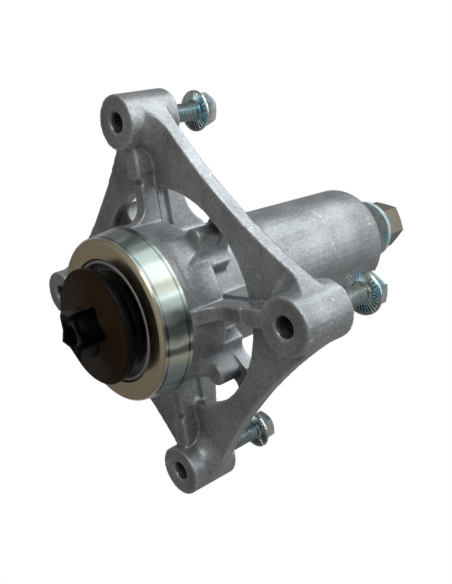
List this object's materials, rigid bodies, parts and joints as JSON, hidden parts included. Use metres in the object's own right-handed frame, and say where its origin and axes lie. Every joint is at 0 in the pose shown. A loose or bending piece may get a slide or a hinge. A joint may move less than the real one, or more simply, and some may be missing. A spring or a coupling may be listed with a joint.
{
  "type": "mower deck spindle",
  "caption": "Cast spindle housing with ribbed bolt arms, a dust cup, ball bearings and a star-ended blade shaft carried through a long barrel.",
  "frame": {"origin": "on the shaft's axis, in the plane of the four boss faces that meet the deck", "axes": "+Z along the shaft from the blade end to the pulley end, the bosses on the diagonals of X and Y"},
  "size_m": [0.1302, 0.1302, 0.2068],
  "materials": {
    "cast_aluminium": "satin as-cast grey",
    "zinc_plate": "bright zinc plate, faintly blue",
    "nut_zinc": "zinc plate",
    "black_oxide": "black oxide, semi-gloss",
    "plain_steel": "turned steel",
    "bearing_steel": "ground steel",
    "seal_rubber": "matt black"
  },
  "bodies": {
    "housing": {"spindle_housing": "cast_aluminium", "dust_cup": "zinc_plate", "deck_bolt_1": "zinc_plate", "deck_bolt_2": "zinc_plate", "deck_bolt_3": "zinc_plate", "deck_bolt_4": "zinc_plate", "lower_bearing_outer_race": "bearing_steel", "lower_bearing_front_seal": "seal_rubber", "lower_bearing_back_seal": "seal_rubber", "upper_bearing_outer_race": "bearing_steel", "upper_bearing_front_seal": "seal_rubber", "upper_bearing_back_seal": "seal_rubber"},
    "shaft": {"spindle_shaft": "black_oxide", "bearing_spacer": "plain_steel", "flat_washer": "zinc_plate", "lock_washer": "zinc_plate", "shaft_nut": "nut_zinc", "lower_bearing_inner_race": "bearing_steel", "upper_bearing_inner_race": "bearing_steel"},
    "lower_cage": {"lower_bearing_cage": "plain_steel", "lower_bearing_balls": "bearing_steel"},
    "upper_cage": {"upper_bearing_cage": "plain_steel", "upper_bearing_balls": "bearing_steel"}
  },
  "joints": [
    {"name": "shaft_spin", "type": "hinge", "parent": "housing", "child": "shaft", "pos_m": [0, 0, 0], "axis": [0, 0, 1], "continuous": true},
    {"name": "lower_cage_spin", "type": "hinge", "parent": "housing", "child": "lower_cage", "pos_m": [0, 0, 0], "axis": [0, 0, 1], "continuous": true},
    {"name": "upper_cage_spin", "type": "hinge", "parent": "housing", "child": "upper_cage", "pos_m": [0, 0, 0], "axis": [0, 0, 1], "continuous": true}
  ],
  "couplings": [
    {"joint": "lower_cage_spin", "follows": "shaft_spin", "ratio": 0.3816},
    {"joint": "upper_cage_spin", "follows": "shaft_spin", "ratio": 0.3816}
  ]
}
